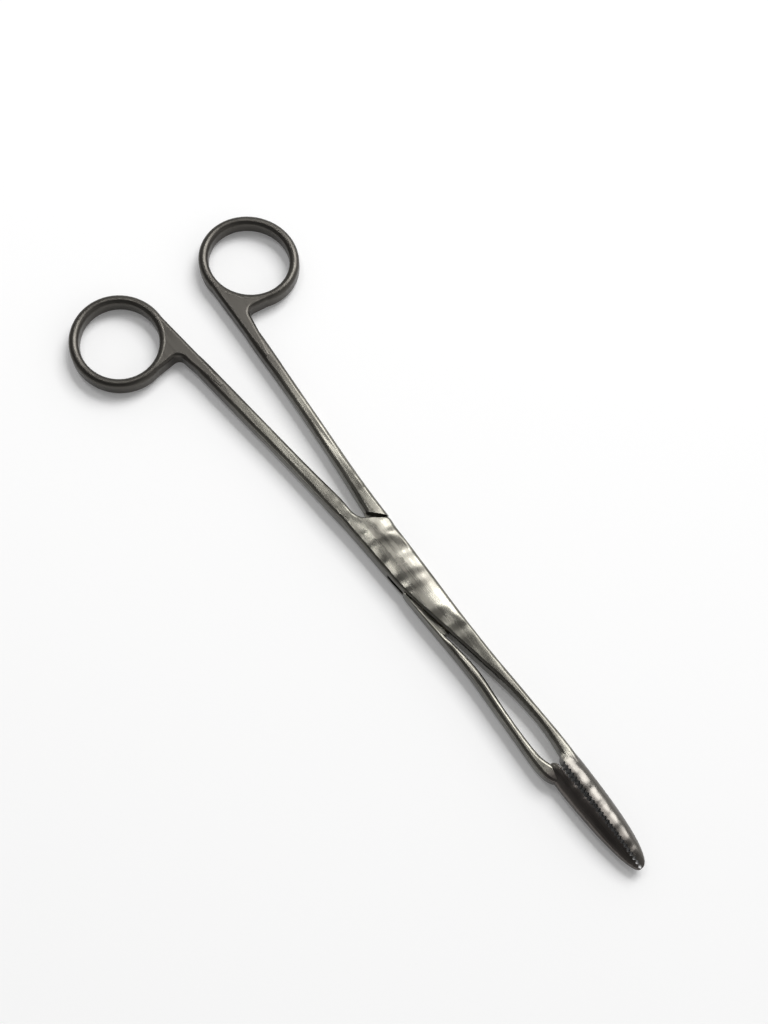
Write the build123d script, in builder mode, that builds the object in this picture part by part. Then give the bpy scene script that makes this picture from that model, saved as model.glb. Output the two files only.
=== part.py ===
from build123d import *
from math import acos, asin, atan2, cos, hypot, radians, sin
import os

# Sponge holding forceps: two crossed halves that turn on one pin in a box lock.
# Millimetres. The pin's axis is Z through the origin, the flat underside of the lock is z = 0,
# and the jaws point along +X. The box half has its ring on the -Y side and its jaw on the +Y side.

# Lengths along the instrument, from the pin's axis
ring_back = 121.2
lock_back = 20.8
lock_front = 34.0
jaw_back = 82.5
jaw_length = 38.1

# Thickness, upwards
lock_thickness = 7.0
handle_thickness = 5.8
front_thickness = 5.8
jaw_thickness = 7.0
mid_z = lock_thickness / 2
cut_margin = 1.0

# Finger rings: an oval bar bent into an oval loop, and the flat web that carries it
tongue_ring_side = 25.9
box_ring_side = 27.9
ring_long = 16.4
ring_short = 15.2
ring_lean = 10.3
bar_width = 3.4
bar_height = 6.3
bar_rounding = 1.6
web_length = 9.0
web_sink = 0.3
web_reach = bar_width / 2 - web_sink
web_thickness = bar_height - 0.1
web_rounding = bar_rounding - web_sink
notch_back = 10.8
notch_out = 1.6
notch_radius = 2.4
handle_back = ring_back - ring_long - bar_width / 2 - web_length

# Pin, tongue and the window that the tongue swings in
pin_radius = 1.5
pin_running_gap = 0.04
tongue_width = 5.7
tongue_thickness = 2.4
tongue_reach = 26.0
tongue_point = 2.0
tongue_foot = 8.0
tongue_foot_edges = (-4.8, -5.3)
tongue_flank = 13.0
tongue_lean = 11.0
tongue_side_gap = 0.12
tongue_face_gap = 0.06
opening_angle = 40.0
shoulder_gaps = (2.6, 2.4, 1.7, 1.0, 0.4)
handle_overlap = 7.0

# Rounding of the long edges
handle_rounding = 1.5
lock_rounding = 1.2
front_rounding = 1.3
rounding_share = 0.42
crown_ratio = 6.5

# Teeth across the mating faces, and the bite that closes from the back to the tip
tooth_pitch = 1.45
tooth_depth = 0.55
groove_share = 0.9
tooth_count = 27
first_tooth = -0.4
bite_back_y = -0.35
bite_tip_y = -1.0
bite_back_gap = 1.3
bite_tip_gap = 0.16

# Half-round jaws: depth behind the mating face, and how bluntly each one runs out to its nose
box_jaw_depth = 5.6
tongue_jaw_depth = 4.75
box_jaw_root = (4.0, 2.6, 2.4, 4.7)
tongue_jaw_root = (2.6, -2.5, 3.4, 5.2)
jaw_root_drop = 0.03
jaw_root_share = 0.26
box_nose_shape = (3.6, 2.4)
tongue_nose_shape = (2.6, 2.2)
nose_height_shape = (3.0, 2.2)
jaw_sections = (0, 8, 17, 26, 35, 44, 53, 62, 71, 79, 86)

# Each stretch in plan and height: (share of its length, lower edge, upper edge, thickness, rounding)
web_root = web_thickness - 1.2
handle_start = web_thickness - 0.2
box_handle = [
    (-0.16, -12.7, -10.7, web_root, handle_rounding),
    (0.0, -12.95, -8.3, handle_start, handle_rounding),
    (0.15, -11.95, -7.25, handle_start, handle_rounding),
    (0.3, -10.95, -6.2, handle_thickness, handle_rounding),
    (0.55, -9.1, -4.5, handle_thickness, handle_rounding),
    (0.8, -7.65, -2.65, handle_thickness + 0.6, handle_rounding),
    (0.93, -6.9, -1.95, lock_thickness - 0.2, lock_rounding),
]
tongue_handle = [
    (-0.16, 10.0, 12.2, web_root, handle_rounding),
    (0.0, 7.75, 12.4, handle_start, handle_rounding),
    (0.15, 7.1, 11.5, handle_start, handle_rounding),
    (0.3, 6.35, 10.55, handle_thickness, handle_rounding),
    (0.55, 4.7, 8.95, handle_thickness, handle_rounding),
    (0.8, 2.6, 7.4, handle_thickness + 0.6, handle_rounding),
    (1.0, 1.1, 6.75, lock_thickness - 0.2, lock_rounding),
]
box_shoulder = [
    (0.0, -6.45, -1.25, lock_thickness, lock_rounding),
    (0.035, -6.4, 0.4, lock_thickness, lock_rounding),
    (0.058, -6.35, 2.6, lock_thickness, lock_rounding),
    (0.085, -6.25, 4.7, lock_thickness, lock_rounding),
    (0.11, -6.2, 6.35, lock_thickness, lock_rounding),
]
box_lock = box_shoulder + [
    (0.15, -6.1, 6.5, lock_thickness, lock_rounding),
    (0.25, -5.9, 6.25, lock_thickness, lock_rounding),
    (0.4, -5.65, 6.0, lock_thickness, lock_rounding),
    (0.55, -5.1, 5.7, lock_thickness, lock_rounding),
    (0.66, -4.25, 5.45, lock_thickness, lock_rounding),
    (0.8, -2.95, 5.15, lock_thickness, lock_rounding),
]
box_front = [
    (0.0, -1.15, 4.9, lock_thickness - 0.1, lock_rounding),
    (0.18, 0.2, 4.9, lock_thickness - 0.4, front_rounding),
    (0.36, 1.55, 5.1, front_thickness + 0.4, front_rounding),
    (0.54, 2.35, 5.25, front_thickness, front_rounding),
    (0.75, 2.5, 5.42, front_thickness, front_rounding),
    (0.92, 1.6, 5.4, front_thickness + 0.4, front_rounding),
    (1.04, 1.2, 5.1, front_thickness - 0.8, front_rounding),
]
tongue_front = [
    (-0.52, -5.5, -5.25, front_thickness - 0.8, front_rounding),
    (-0.42, -5.55, -4.95, front_thickness, front_rounding),
    (-0.25, -5.4, -4.6, front_thickness + 0.4, front_rounding),
    (0.0, -5.25, -2.95, front_thickness + 0.4, front_rounding),
    (0.2, -5.35, -2.2, front_thickness + 0.4, front_rounding),
    (0.4, -5.9, -3.0, front_thickness + 0.2, front_rounding),
    (0.6, -6.45, -3.8, front_thickness, front_rounding),
    (0.78, -7.0, -4.1, front_thickness, front_rounding),
    (0.9, -7.3, -3.6, front_thickness, front_rounding),
    (0.96, -7.15, -2.65, front_thickness - 0.1, front_rounding),
    (1.0, -6.8, -2.05, front_thickness - 0.4, front_rounding),
    (1.05, -5.6, -2.3, front_thickness - 1.2, front_rounding),
]

os.makedirs("parts", exist_ok=True)


def cross_plane(x, y):
    """Plane across the instrument, with its own X along +Y and its own Y upwards."""
    return Plane(origin=(x, y, mid_z), x_dir=(0, 1, 0), z_dir=(1, 0, 0))


def placed(stations, start, end):
    """The stations of one stretch, with each share turned into a place along X."""
    return [(start + (end - start) * share, *sizes) for share, *sizes in stations]


def crowned_section(width, height, rounding):
    """Oblong with a flat underside, rounded corners and a slightly domed top, drawn about its middle."""
    half_width = width / 2
    half_height = height / 2
    dome = crown_ratio * half_width
    tilt = asin((half_width - rounding) / (dome - rounding))
    corner_x = half_width - rounding
    corner_z = half_height - dome + (dome - rounding) * cos(tilt)
    join_x = corner_x + rounding * sin(tilt)
    join_z = corner_z + rounding * cos(tilt)
    bend = radians(45) + tilt / 2
    bend_x = corner_x + rounding * sin(bend)
    bend_z = corner_z + rounding * cos(bend)
    foot_x = corner_x + rounding * sin(radians(45))
    foot_z = rounding * (1 - sin(radians(45))) - half_height
    Line((-corner_x, -half_height), (corner_x, -half_height))
    ThreePointArc((corner_x, -half_height), (foot_x, foot_z), (half_width, rounding - half_height))
    Line((half_width, rounding - half_height), (half_width, corner_z))
    ThreePointArc((half_width, corner_z), (bend_x, bend_z), (join_x, join_z))
    ThreePointArc((join_x, join_z), (0, half_height), (-join_x, join_z))
    ThreePointArc((-join_x, join_z), (-bend_x, bend_z), (-half_width, corner_z))
    Line((-half_width, corner_z), (-half_width, rounding - half_height))
    ThreePointArc((-half_width, rounding - half_height), (-foot_x, foot_z), (-corner_x, -half_height))


def bar(stations):
    """Smooth forged bar through domed oblong sections along X."""
    with BuildPart() as body:
        for x, low, high, height, rounding in stations:
            width = high - low
            with BuildSketch(cross_plane(x, (low + high) / 2)):
                with BuildLine():
                    crowned_section(width, height, min(rounding, rounding_share * width))
                make_face()
        loft()
    return body.part


def mating_y(share, side):
    """Crest of the teeth of one jaw, at a share of the jaw's length."""
    middle = bite_back_y + (bite_tip_y - bite_back_y) * share
    gap = bite_back_gap + (bite_tip_gap - bite_back_gap) * share
    return middle + side * gap / 2


def run_out(share, shape):
    """Share of the full size that is left at a share of the jaw's length."""
    length_power, size_root = shape
    return (1 - share**length_power) ** (1 / size_root)


def jaw(side, full_depth, nose_shape, root):
    """Half-round jaw with a flat mating face; side is +1 on the box half and -1 on the tongue half."""
    root_length, root_face, root_depth, root_height = root
    sections = [(-root_length, root_face, root_depth, root_height)]
    for angle in jaw_sections:
        share = sin(radians(angle))
        swelling = 1 - jaw_root_drop * (1 - min(share / jaw_root_share, 1)) ** 2
        depth = full_depth * run_out(share, nose_shape) * swelling
        height = jaw_thickness * run_out(share, nose_height_shape) * swelling
        sections.append((jaw_length * share, mating_y(share, side), depth, height))
    with BuildPart() as body:
        for along, face, depth, height in sections:
            with BuildSketch(cross_plane(jaw_back + along, face)):
                with BuildLine():
                    Line((0, side * height / 2), (0, -side * height / 2))
                    EllipticalCenterArc((0, 0), depth, height / 2, start_angle=-90 * side, arc_size=180)
                make_face()
        loft()
    return body.part


def teeth(side):
    """Upright prisms that cut the grooves between the teeth of one jaw."""
    half_groove = groove_share * tooth_pitch / 2
    mouth_reach = bite_back_gap
    half_mouth = half_groove * (1 + mouth_reach / tooth_depth)
    with BuildPart() as grooves:
        with BuildSketch(Plane.XY.offset(mid_z - jaw_thickness / 2 - cut_margin)):
            for number in range(tooth_count):
                x = jaw_back + first_tooth + tooth_pitch * number
                crest = mating_y((x - jaw_back) / jaw_length, side)
                mouth = crest - side * mouth_reach
                with BuildLine():
                    Polyline(
                        (x - half_mouth, mouth),
                        (x + half_mouth, mouth),
                        (x, crest + side * tooth_depth),
                        close=True,
                    )
                make_face()
        extrude(amount=jaw_thickness + 2 * cut_margin)
    return grooves.part


def ring(ring_y, side):
    """Closed finger ring swept along an oval that leans outwards."""
    lean = side * ring_lean
    with BuildPart() as loop:
        with BuildLine(Plane.XY.offset(mid_z)):
            oval = EllipticalCenterArc(
                (-ring_back, ring_y), ring_long, ring_short, arc_size=360, rotation=lean
            )
        across = (cos(radians(lean)), sin(radians(lean)), 0)
        with BuildSketch(Plane(origin=oval @ 0, x_dir=across, z_dir=oval % 0)):
            RectangleRounded(bar_width, bar_height, bar_rounding)
        sweep()
    return loop.part


def touch_point(ring_y, side, along, across, which):
    """Where a straight edge from a point in plan touches the oval that the web shares with its ring."""
    lean = radians(side * ring_lean)
    reach = ring_long + web_reach
    height = ring_short + web_reach
    x = along + ring_back
    y = across - ring_y
    flat_x = (x * cos(lean) + y * sin(lean)) / reach
    flat_y = (y * cos(lean) - x * sin(lean)) / height
    turn = atan2(flat_y, flat_x) + which * acos(1 / hypot(flat_x, flat_y))
    oval_x = reach * cos(turn)
    oval_y = height * sin(turn)
    touch_x = oval_x * cos(lean) - oval_y * sin(lean) - ring_back
    touch_y = oval_x * sin(lean) + oval_y * cos(lean) + ring_y
    return (touch_x, touch_y)


def web(ring_y, side, handle):
    """Flat plate that joins the handle to its ring, with a round notch outside the handle."""
    lean = side * ring_lean
    centre = (-ring_back, ring_y)
    low, high = handle[1][1:3]
    inner, outer = (low, high) if side > 0 else (high, low)
    edge = side * web_sink
    notch = (-handle_back - notch_back, outer + side * notch_out)
    with BuildPart() as plate:
        with BuildSketch(Plane.XY.offset(mid_z - web_thickness / 2)) as outline:
            with BuildLine():
                Polyline(
                    (web_length - handle_back, inner),
                    (web_length - handle_back, outer - 2 * edge - side * web_rounding),
                    (-handle_back, outer - edge),
                    notch,
                    touch_point(ring_y, side, *notch, side),
                    centre,
                    touch_point(ring_y, side, -handle_back, inner + edge, -side),
                    (-handle_back, inner + edge),
                    close=True,
                )
            make_face()
            with Locations(centre):
                Ellipse(ring_long + web_reach, ring_short + web_reach, rotation=lean)
            fillet(outline.vertices().sort_by_distance((*notch, 0))[0], notch_radius)
            with Locations(centre):
                Ellipse(ring_long - web_reach, ring_short - web_reach, rotation=lean, mode=Mode.SUBTRACT)
        extrude(amount=web_thickness)
        flats = plate.faces().filter_by(Axis.Z)
        fillet(flats.edges(), web_rounding)
    return plate.part


def swing_point(along, across, swing):
    """Point in the tongue's own axes, in plan, with the tongue half opened by an angle."""
    angle = radians(-tongue_lean - swing)
    return (along * cos(angle) - across * sin(angle), along * sin(angle) + across * cos(angle))


# Shoulder across the lock: the tongue half's handle ends behind the box, with a gap that closes outwards
shoulder = [(x, high) for x, low, high, *rest in placed(box_shoulder, -lock_back, lock_front)]
handle_end = [(x - gap, y) for (x, y), gap in zip(shoulder, shoulder_gaps)]
full_height = lock_thickness + 2 * cut_margin
far_side = 20.0

# Tongue half: ring, web, handle, front shank, jaw, and the thin tongue between them
tongue_ring = ring(tongue_ring_side, 1)
tongue_web = web(tongue_ring_side, 1, tongue_handle)
tongue_shank = bar(placed(tongue_handle, -handle_back, handle_overlap - lock_back))
tongue_front_shank = bar(placed(tongue_front, lock_front, jaw_back))
tongue_jaw = jaw(-1, tongue_jaw_depth, tongue_nose_shape, tongue_jaw_root)
tongue_teeth = teeth(-1)
tongue_half_width = tongue_width / 2
with BuildPart() as tongue_half:
    add(tongue_ring)
    add(tongue_web)
    add(tongue_shank)
    with BuildSketch(Plane.XY.offset(-cut_margin)):
        with BuildLine():
            Polyline(handle_end + [(handle_end[-1][0], far_side), (0, far_side), (0, -far_side)], close=True)
        make_face()
    extrude(amount=full_height, mode=Mode.SUBTRACT)
    add(tongue_front_shank)
    add(tongue_jaw)
    add(tongue_teeth, mode=Mode.SUBTRACT)
    with BuildSketch(Plane.XY.offset(mid_z - tongue_thickness / 2)):
        with BuildLine():
            Polyline(
                swing_point(-lock_back, tongue_half_width, 0),
                swing_point(tongue_reach + tongue_point, tongue_half_width, 0),
                (tongue_reach, tongue_foot_edges[0]),
                (tongue_reach - tongue_foot, tongue_foot_edges[1]),
                swing_point(tongue_flank, -tongue_half_width, 0),
                swing_point(-lock_back, -tongue_half_width, 0),
                close=True,
            )
        make_face()
    extrude(amount=tongue_thickness)
    with Locations((0, 0, mid_z)):
        Cylinder(pin_radius + pin_running_gap, full_height, mode=Mode.SUBTRACT)
tongue_half.part.label = "tongue_half"

# Box half: ring, web, handle, slotted lock, front shank and jaw
box_ring = ring(-box_ring_side, -1)
box_web = web(-box_ring_side, -1, box_handle)
box_bar = bar(
    placed(box_handle, -handle_back, -lock_back)
    + placed(box_lock, -lock_back, lock_front)
    + placed(box_front, lock_front, jaw_back)
)
box_jaw = jaw(1, box_jaw_depth, box_nose_shape, box_jaw_root)
box_teeth = teeth(1)
window_half_width = tongue_half_width + tongue_side_gap
window_thickness = tongue_thickness + 2 * tongue_face_gap
with BuildPart() as box_half:
    add(box_ring)
    add(box_web)
    add(box_bar)
    add(box_jaw)
    add(box_teeth, mode=Mode.SUBTRACT)
    with BuildSketch(Plane.XY.offset(mid_z - window_thickness / 2)):
        Circle(window_half_width)
        with BuildLine():
            Polyline(
                swing_point(0, window_half_width, 0),
                swing_point(2 * lock_front, window_half_width, 0),
                swing_point(2 * lock_front, -window_half_width, opening_angle),
                swing_point(0, -window_half_width, opening_angle),
                close=True,
            )
        make_face()
        with BuildLine():
            Polyline(
                swing_point(0, -window_half_width, 0),
                swing_point(-2 * lock_back, -window_half_width, 0),
                swing_point(-2 * lock_back, window_half_width, opening_angle),
                swing_point(0, window_half_width, opening_angle),
                close=True,
            )
        make_face()
    extrude(amount=window_thickness, mode=Mode.SUBTRACT)
    with Locations((0, 0, mid_z)):
        Cylinder(pin_radius, full_height, mode=Mode.SUBTRACT)
box_half.part.label = "box_half"

# Pivot pin, ground flush with both faces of the lock
with BuildPart() as pivot_pin:
    with Locations((0, 0, mid_z)):
        Cylinder(pin_radius, lock_thickness)
pivot_pin.part.label = "pivot_pin"

export_step(box_half.part, "parts/box_half.step")
export_step(tongue_half.part, "parts/tongue_half.step")
export_step(pivot_pin.part, "parts/pivot_pin.step")
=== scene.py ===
"""Sponge holding forceps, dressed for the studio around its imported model. Blender 4.5, metres."""

import logging
from dataclasses import dataclass, field
from enum import Enum

import bpy
from mathutils import Matrix, Vector

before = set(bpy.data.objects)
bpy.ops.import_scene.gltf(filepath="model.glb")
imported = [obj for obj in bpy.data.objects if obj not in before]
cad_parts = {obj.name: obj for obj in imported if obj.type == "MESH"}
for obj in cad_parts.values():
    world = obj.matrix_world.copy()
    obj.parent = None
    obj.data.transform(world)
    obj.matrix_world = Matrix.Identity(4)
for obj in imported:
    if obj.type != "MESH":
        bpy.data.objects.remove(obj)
LOG = logging.getLogger("forceps")
MM = 0.001


class Lay(Enum):
    """Direction in which a surface was ground, with how far its marks stretch along X, Y and Z."""

    LENGTHWISE = (0.05, 1.0, 1.0)
    EVEN = (1.0, 1.0, 1.0)


@dataclass
class Graph:
    """Short way to write a shader's nodes."""

    tree: bpy.types.NodeTree

    def node(self, kind: str, values: dict | None = None, **settings: object) -> bpy.types.Node:
        """Add a node.

        Args:
            kind: Blender's name for the node type.
            values: Input name or index to a constant, or to the output socket that feeds it.
            settings: Attributes of the node itself.

        Returns:
            The new node.
        """
        made = self.tree.nodes.new(kind)
        for name, value in settings.items():
            setattr(made, name, value)
        for key, value in (values or {}).items():
            if isinstance(value, bpy.types.NodeSocket):
                self.tree.links.new(value, made.inputs[key])
            else:
                made.inputs[key].default_value = value
        return made

    def math(self, operation: str, first: object, second: object = 0.0) -> bpy.types.NodeSocket:
        """Combine two numbers.

        Args:
            operation: Blender's name for the operation.
            first: Constant or socket.
            second: Constant or socket.

        Returns:
            The result's socket.
        """
        return self.node("ShaderNodeMath", {0: first, 1: second}, operation=operation).outputs[0]

    def step(
        self, value: object, low: float, high: float, start: float = 0.0, end: float = 1.0
    ) -> bpy.types.NodeSocket:
        """Smooth step of a value between two limits.

        Args:
            value: Socket to be mapped.
            low: Value that gives start.
            high: Value that gives end.
            start: Result at and below low.
            end: Result at and above high.

        Returns:
            The result's socket.
        """
        mapped = {"Value": value, "From Min": low, "From Max": high, "To Min": start, "To Max": end}
        return self.node("ShaderNodeMapRange", mapped, interpolation_type="SMOOTHSTEP").outputs["Result"]

    def noise(
        self,
        place: object,
        size: float,
        stretch: tuple[float, float, float],
        detail: float,
        swirl: float = 0.0,
    ) -> bpy.types.NodeSocket:
        """Soft random pattern in space.

        Args:
            place: Socket with the place.
            size: Length of one feature, before it is stretched.
            stretch: Scale of the place along X, Y and Z; a small value makes long features.
            detail: Number of finer layers.
            swirl: How far the pattern is twisted into itself.

        Returns:
            The socket of a value around 0.5.
        """
        mapped = self.node("ShaderNodeMapping", {0: place, "Scale": stretch}).outputs[0]
        values = {"Vector": mapped, "Scale": 1 / size, "Detail": detail, "Distortion": swirl}
        return self.node("ShaderNodeTexNoise", values).outputs["Fac"]

    def blend(self, share: object, low: object, high: object) -> bpy.types.NodeSocket:
        """Colour between two others.

        Args:
            share: Socket that is 0 for the first colour and 1 for the second.
            low: First colour, as three numbers or a socket.
            high: Second colour, as three numbers or a socket.

        Returns:
            The colour's socket.
        """
        ends = [end if isinstance(end, bpy.types.NodeSocket) else (*end, 1.0) for end in (low, high)]
        mixed = self.node("ShaderNodeMix", {0: share, 6: ends[0], 7: ends[1]}, data_type="RGBA")
        return mixed.outputs[2]


@dataclass(frozen=True)
class Relief:
    """One kind of unevenness in a surface: a random pattern with a height."""

    size: float
    height: float
    stretch: tuple[float, float, float]
    detail: float = 0.0
    swirl: float = 0.0

    def draw(self, graph: Graph, place: object) -> bpy.types.NodeSocket:
        """Draw the pattern.

        Args:
            graph: Nodes of the material.
            place: Socket with the place on the piece.

        Returns:
            Socket of the height in millimetres.
        """
        pattern = graph.noise(place, self.size, self.stretch, self.detail, self.swirl)
        return graph.math("MULTIPLY", pattern, self.height / MM)


@dataclass(frozen=True)
class Zones:
    """Sockets that tell a shader where it is on the instrument; all but the first run from 0 to 1."""

    place: bpy.types.NodeSocket
    outer_face: bpy.types.NodeSocket
    polished: bpy.types.NodeSocket
    beyond_lock: bpy.types.NodeSocket
    on_jaw: bpy.types.NodeSocket
    seam_shade_share: bpy.types.NodeSocket


@dataclass(frozen=True)
class Steel:
    """Stainless steel that is satin at the rings and hand polished from the lock to the jaws."""

    name: str
    lay: Lay = Lay.LENGTHWISE
    tint: tuple[float, float, float] = (0.21, 0.203, 0.176)
    shade: tuple[float, float, float] = (0.15, 0.143, 0.124)
    satin_tint: tuple[float, float, float] = (0.080, 0.075, 0.067)
    jaw_tint: tuple[float, float, float] = (0.145, 0.136, 0.124)
    # painted shade: dark tints for the faces and walls beside the seam between the jaws, where the gap
    # lies in shadow
    painted_seam_shade: tuple[float, float, float] = (0.085, 0.078, 0.071)
    painted_gap_shade: tuple[float, float, float] = (0.012, 0.011, 0.010)
    satin_roughness: float = 0.35
    polished_roughness: float = 0.27
    smear_size: float = 1.3 * MM
    smear_contrast: tuple[float, float] = (0.35, 0.65)
    smear_roughness: float = 0.04
    stain_size: float = 9 * MM
    stain_contrast: tuple[float, float] = (0.3, 0.7)
    wall_to_face: tuple[float, float] = (0.1, 0.6)
    satin_to_polish: tuple[float, float] = (-88 * MM, -62 * MM)
    lock_to_shank: tuple[float, float] = (24 * MM, 40 * MM)
    shank_to_jaw: tuple[float, float] = (79 * MM, 84 * MM)
    seam_shade_span: tuple[float, float] = (0.7 * MM, 1.7 * MM)
    waves: Relief = Relief(12 * MM, 1.6 * MM, (1.0, 0.5, 0.5), swirl=1.2)
    streaks: Relief = Relief(5 * MM, 0.55 * MM, (0.2, 1.0, 1.0), swirl=0.4)
    ripples: Relief = Relief(3.4 * MM, 0.8 * MM, (1.0, 0.3, 0.3))
    grain_size: float = 0.4 * MM
    grain_height: float = 0.003 * MM

    def build(self) -> bpy.types.Material:
        """Make the material.

        Returns:
            The node material.
        """
        material = bpy.data.materials.new(self.name)
        material.use_nodes = True
        graph = Graph(material.node_tree)
        material.node_tree.nodes.clear()
        zones = self.zones(graph)
        bump = graph.node(
            "ShaderNodeBump", {"Height": self.relief(graph, zones), "Strength": 1.0, "Distance": MM}
        )
        steel = graph.node(
            "ShaderNodeBsdfPrincipled",
            {
                "Metallic": 1.0,
                "Roughness": self.roughness(graph, zones),
                "Normal": bump.outputs[0],
                "Base Color": self.colour(graph, zones),
            },
        )
        graph.node("ShaderNodeOutputMaterial", {"Surface": steel.outputs[0]})
        return material

    def zones(self, graph: Graph) -> Zones:
        """Find where on the instrument the shader is.

        Args:
            graph: Nodes of the material.

        Returns:
            The sockets of the zones.
        """
        coordinates = graph.node("ShaderNodeTexCoord").outputs
        axes = graph.node("ShaderNodeSeparateXYZ", {0: coordinates["Object"]}).outputs
        upright = graph.node("ShaderNodeSeparateXYZ", {0: coordinates["Normal"]}).outputs["Z"]
        return Zones(
            place=coordinates["Object"],
            outer_face=graph.step(graph.math("ABSOLUTE", upright), *self.wall_to_face),
            polished=graph.step(axes["X"], *self.satin_to_polish),
            beyond_lock=graph.step(graph.math("ABSOLUTE", axes["X"]), *self.lock_to_shank),
            on_jaw=graph.step(axes["X"], *self.shank_to_jaw),
            # share of painted shade beside the seam: 1 at the seam, 0 on the cheeks
            seam_shade_share=graph.step(graph.math("ABSOLUTE", axes["Y"]), *self.seam_shade_span, 1.0, 0.0),
        )

    def relief(self, graph: Graph, zones: Zones) -> bpy.types.NodeSocket:
        """Height of the surface.

        Hand-ground waves on the lock and lengthwise streaks on the shanks lie on the polished outer
        faces only. Ripples cross the jaws, and grinding marks are everywhere.

        Args:
            graph: Nodes of the material.
            zones: Where on the instrument the shader is.

        Returns:
            Socket of the height in millimetres.
        """
        on_lock = graph.step(zones.beyond_lock, 0.0, 1.0, 1.0, 0.0)
        wave = graph.math("MULTIPLY", self.waves.draw(graph, zones.place), on_lock)
        streak = graph.math("MULTIPLY", self.streaks.draw(graph, zones.place), zones.beyond_lock)
        hand_ground = graph.math("MULTIPLY", zones.polished, zones.outer_face)
        swell = graph.math("MULTIPLY", graph.math("ADD", wave, streak), hand_ground)
        ripple = graph.math("MULTIPLY", self.ripples.draw(graph, zones.place), zones.on_jaw)
        grain = Relief(self.grain_size, self.grain_height, self.lay.value, detail=3.0)
        return graph.math("ADD", graph.math("ADD", swell, ripple), grain.draw(graph, zones.place))

    def roughness(self, graph: Graph, zones: Zones) -> bpy.types.NodeSocket:
        """Roughness, which is uneven along the grinding marks.

        Args:
            graph: Nodes of the material.
            zones: Where on the instrument the shader is.

        Returns:
            Socket of the roughness.
        """
        level = graph.step(zones.polished, 0.0, 1.0, self.satin_roughness, self.polished_roughness)
        smear = graph.noise(zones.place, self.smear_size, self.lay.value, 2.0)
        swing = graph.step(smear, *self.smear_contrast, -self.smear_roughness, self.smear_roughness)
        return graph.math("ADD", level, swing)

    def colour(self, graph: Graph, zones: Zones) -> bpy.types.NodeSocket:
        """Tint of the metal: stained where it is polished, browner on the jaws, with painted shade on
        the walls and faces beside the seam between the jaws.

        Args:
            graph: Nodes of the material.
            zones: Where on the instrument the shader is.

        Returns:
            Socket of the colour.
        """
        stain = graph.noise(zones.place, self.stain_size, Lay.EVEN.value, 3.0)
        clean = graph.blend(graph.step(stain, *self.stain_contrast), self.shade, self.tint)
        forged = graph.blend(zones.polished, self.satin_tint, clean)
        # painted shade in the gap between the jaws: near black on the upright walls, darker on the faces
        # beside the seam
        gap_shade = graph.blend(zones.outer_face, self.painted_gap_shade, self.painted_seam_shade)
        jaw = graph.blend(zones.seam_shade_share, self.jaw_tint, gap_shade)
        return graph.blend(zones.on_jaw, forged, jaw)


@dataclass(frozen=True)
class Camera:
    """View from above the jaws, with the instrument lying across the picture."""

    position: Vector = Vector((140.769, -116.659, 484.706))
    right: Vector = Vector((0.60098, 0.79923, 0.00726))
    up: Vector = Vector((-0.73920, 0.55235, 0.38535))
    back: Vector = Vector((0.30398, -0.23696, 0.92274))
    lens: float = 56.25
    sensor: float = 36.0
    nearest: float = 0.01
    farthest: float = 20.0

    def place(self) -> None:
        """Put the camera in the scene and make it the one that renders."""
        data = bpy.data.cameras.new("camera")
        data.sensor_fit = "VERTICAL"
        data.sensor_height = self.sensor
        data.lens = self.lens
        data.clip_start = self.nearest
        data.clip_end = self.farthest
        camera = bpy.data.objects.new("camera", data)
        bpy.context.scene.collection.objects.link(camera)
        turn = Matrix((self.right, self.up, self.back)).transposed().to_4x4()
        camera.matrix_world = Matrix.Translation(self.position * MM) @ turn
        bpy.context.scene.camera = camera
        LOG.info("camera is placed")


@dataclass(frozen=True)
class Lamp:
    """Rectangular soft box that faces the origin, with its first side along X."""

    name: str
    place: tuple[float, float, float]
    size: tuple[float, float]
    power: float

    def hang(self) -> None:
        """Add the soft box to the scene, turned to the origin."""
        light = bpy.data.lights.new(self.name, "AREA")
        light.shape = "RECTANGLE"
        light.size, light.size_y = self.size
        light.energy = self.power
        lamp = bpy.data.objects.new(self.name, light)
        back = Vector(self.place).normalized()
        along = (Vector((1.0, 0.0, 0.0)) - back * back.x).normalized()
        turn = Matrix((along, back.cross(along), back)).transposed().to_4x4()
        lamp.matrix_world = Matrix.Translation(self.place) @ turn
        bpy.context.scene.collection.objects.link(lamp)


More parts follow.
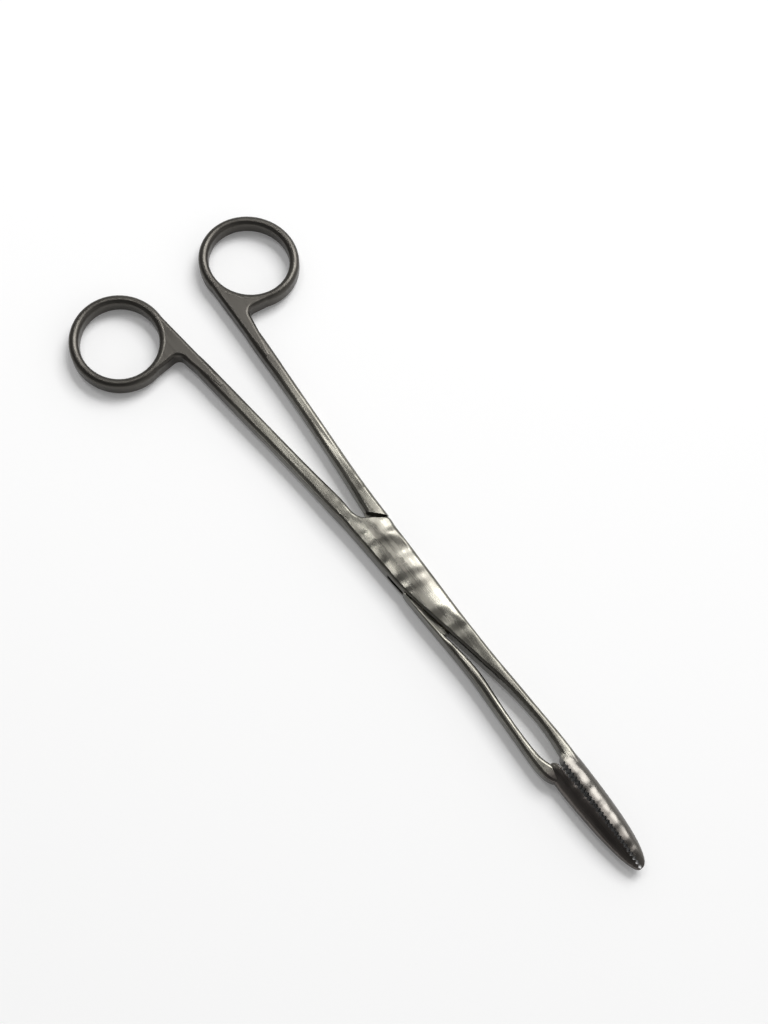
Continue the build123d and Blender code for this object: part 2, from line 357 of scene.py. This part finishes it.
@dataclass
class Studio:
    """Plain pale table, soft boxes and a dim room around them."""

    table_half: float = 3.0
    table_grey: float = 0.90
    table_lift: float = 0.11
    zenith: float = 0.30
    horizon: float = 0.7
    dim_side: float = 0.35
    horizon_to_zenith: tuple[float, float] = (0.5, 0.85)
    dim_to_bright: tuple[float, float] = (-0.6, 0.5)
    lamps: list[Lamp] = field(
        default_factory=lambda: [
            Lamp("key_box", (-0.6, 2.1, 2.6), (1.9, 1.9), 76.0),
            Lamp("far_strip", (-0.40, 0.42, 0.87), (0.44, 0.06), 1.0),
            Lamp("near_strip", (-0.42, -0.02, 0.92), (0.38, 0.05), 1.0),
        ]
    )

    def light(self) -> None:
        """Hang the soft boxes and give the room its glow."""
        for lamp in self.lamps:
            lamp.hang()
        world = bpy.data.worlds.new("room")
        world.use_nodes = True
        bpy.context.scene.world = world
        graph = Graph(world.node_tree)
        world.node_tree.nodes.clear()
        direction = graph.node("ShaderNodeTexCoord").outputs["Generated"]
        heading = graph.node("ShaderNodeSeparateXYZ", {0: direction}).outputs
        glow = graph.step(heading["Z"], *self.horizon_to_zenith, self.horizon, self.zenith)
        side = graph.step(heading["Y"], *self.dim_to_bright, self.dim_side, 1.0)
        level = graph.math("MULTIPLY", glow, side)
        room = graph.node("ShaderNodeBackground", {"Color": (1.0, 1.0, 1.0, 1.0), "Strength": level})
        graph.node("ShaderNodeOutputWorld", {"Surface": room.outputs[0]})
        LOG.info("studio is lit by %d soft boxes", len(self.lamps))

    def table(self) -> None:
        """Lay the pale table under the instrument."""
        half = self.table_half
        mesh = bpy.data.meshes.new("table")
        corners = [(-half, -half, 0.0), (half, -half, 0.0), (half, half, 0.0), (-half, half, 0.0)]
        mesh.from_pydata(corners, [], [(0, 1, 2, 3)])
        table = bpy.data.objects.new("table", mesh)
        bpy.context.scene.collection.objects.link(table)
        material = bpy.data.materials.new("table_white")
        material.use_nodes = True
        graph = Graph(material.node_tree)
        material.node_tree.nodes.clear()
        rays = graph.node("ShaderNodeLightPath").outputs
        mirrored = graph.math("MAXIMUM", rays["Is Glossy Ray"], rays["Is Transmission Ray"])
        seen = graph.math("MAXIMUM", rays["Is Camera Ray"], mirrored)
        grey = (self.table_grey, self.table_grey, self.table_grey, 1.0)
        paint = graph.node("ShaderNodeBsdfDiffuse", {"Color": grey})
        lift = graph.node(
            "ShaderNodeEmission", {"Strength": graph.math("MULTIPLY", seen, self.table_lift)}
        )
        both = graph.node("ShaderNodeAddShader", {0: paint.outputs[0], 1: lift.outputs[0]})
        graph.node("ShaderNodeOutputMaterial", {"Surface": both.outputs[0]})
        mesh.materials.append(material)
        LOG.info("table is laid")


@dataclass
class Piece:
    """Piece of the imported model, with the steel that it is made of."""

    node: str
    steel: Steel

    def dress(self) -> None:
        """Give the piece its steel."""
        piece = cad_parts[self.node]
        piece.data.materials.clear()
        piece.data.materials.append(self.steel.build())
        LOG.info("%s is dressed in %s", self.node, self.steel.name)


@dataclass
class ForgedHalf(Piece):
    """One forged half: ring, shank, its part of the lock, front shank and jaw."""


@dataclass
class PivotPin(Piece):
    """Riveted pin, ground flush with both faces of the lock."""


@dataclass
class Forceps:
    """The two forged halves and their pin."""

    box_half: ForgedHalf = field(default_factory=lambda: ForgedHalf("box_half", Steel("box_half_steel")))
    tongue_half: ForgedHalf = field(
        default_factory=lambda: ForgedHalf(
            # this half's darker jaw tint is heat stain plus painted shade, for the jaw that lies on the
            # shaded near side
            "tongue_half", Steel("tongue_half_steel", jaw_tint=(0.12, 0.107, 0.098))
        )
    )
    pin: PivotPin = field(default_factory=lambda: PivotPin("pivot_pin", Steel("pin_steel", Lay.EVEN)))

    def dress(self) -> None:
        """Dress every piece of the instrument."""
        self.box_half.dress()
        self.tongue_half.dress()
        self.pin.dress()


def main() -> None:
    """Dress the instrument, light it and place the camera."""
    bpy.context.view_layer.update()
    scene = bpy.context.scene
    scene.view_settings.view_transform = "Standard"
    Forceps().dress()
    studio = Studio()
    studio.light()
    studio.table()
    Camera().place()


if __name__ == "__main__":
    logging.basicConfig(level=logging.INFO)
    main()
